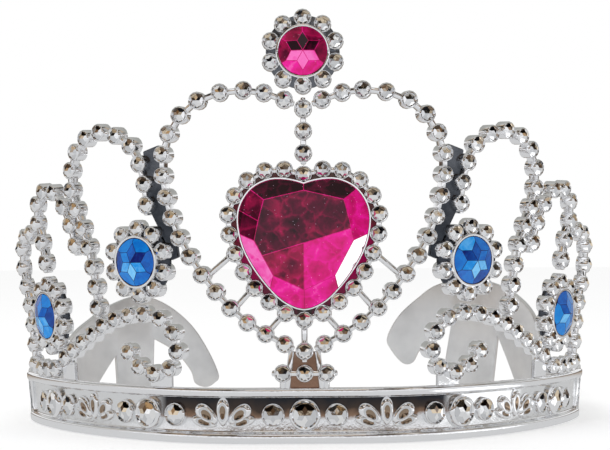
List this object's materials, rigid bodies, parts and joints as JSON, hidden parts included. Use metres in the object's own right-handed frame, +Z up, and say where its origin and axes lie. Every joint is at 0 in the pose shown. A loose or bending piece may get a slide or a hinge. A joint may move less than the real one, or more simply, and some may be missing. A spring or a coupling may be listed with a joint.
{
  "type": "princess tiara crown",
  "caption": "Open-backed toy tiara: bead-work silver plastic crown on a relief band, with a heart stone, round stones and plain rear ends that flex.",
  "frame": {"origin": "on the ground, below the middle of the object's box", "axes": "+Z up, front of the crown towards -Y, +X to the right in the front view"},
  "size_m": [0.1524, 0.139, 0.1007],
  "materials": {
    "silver_plastic": "vacuum-metallised mirror silver over moulded plastic, softer satin on the rear ends",
    "pink_stone": "clear magenta acrylic, faceted, foil backed",
    "blue_stone": "clear sapphire-blue acrylic, faceted, foil backed",
    "glue": "set adhesive, hidden under the stones"
  },
  "bodies": {
    "front": {"band_front": "silver_plastic", "band_shoulder_right": "silver_plastic", "band_shoulder_left": "silver_plastic", "band_side_right": "silver_plastic", "band_side_left": "silver_plastic", "heart_outline_right": "silver_plastic", "heart_outline_left": "silver_plastic", "arch_a_right": "silver_plastic", "arch_a_left": "silver_plastic", "arch_b_right": "silver_plastic", "arch_b_left": "silver_plastic", "arch_c_right": "silver_plastic", "arch_c_left": "silver_plastic", "curl_a_right": "silver_plastic", "curl_a_left": "silver_plastic", "curl_b_right": "silver_plastic", "curl_b_left": "silver_plastic", "foot": "silver_plastic", "upper_post": "silver_plastic", "strut_bottom": "silver_plastic", "strut_upper_right": "silver_plastic", "strut_upper_left": "silver_plastic", "strut_middle_right": "silver_plastic", "strut_middle_left": "silver_plastic", "strut_lower_right": "silver_plastic", "strut_lower_left": "silver_plastic", "setting_heart": "silver_plastic", "setting_top": "silver_plastic", "setting_inner_right": "silver_plastic", "setting_inner_left": "silver_plastic", "setting_outer_right": "silver_plastic", "setting_outer_left": "silver_plastic", "stone_heart": "pink_stone", "stone_top": "pink_stone", "stone_inner_right": "blue_stone", "stone_inner_left": "blue_stone", "stone_outer_right": "blue_stone", "stone_outer_left": "blue_stone", "glue_heart": "glue", "glue_top": "glue", "glue_inner_right": "glue", "glue_inner_left": "glue", "glue_outer_right": "glue", "glue_outer_left": "glue"},
    "rear_right": {"rear_end_right": "silver_plastic"},
    "rear_left": {"rear_end_left": "silver_plastic"}
  },
  "joints": [
    {"name": "right_end_flex", "type": "hinge", "parent": "front", "child": "rear_right", "pos_m": [0.07086, -0.00629, 0.0065], "axis": [0, 0, -1], "range_deg": [-4, 10], "stiffness_Nm_per_rad": 0.3},
    {"name": "left_end_flex", "type": "hinge", "parent": "front", "child": "rear_left", "pos_m": [-0.07086, -0.00629, 0.0065], "axis": [0, 0, 1], "range_deg": [-4, 10], "stiffness_Nm_per_rad": 0.3}
  ]
}
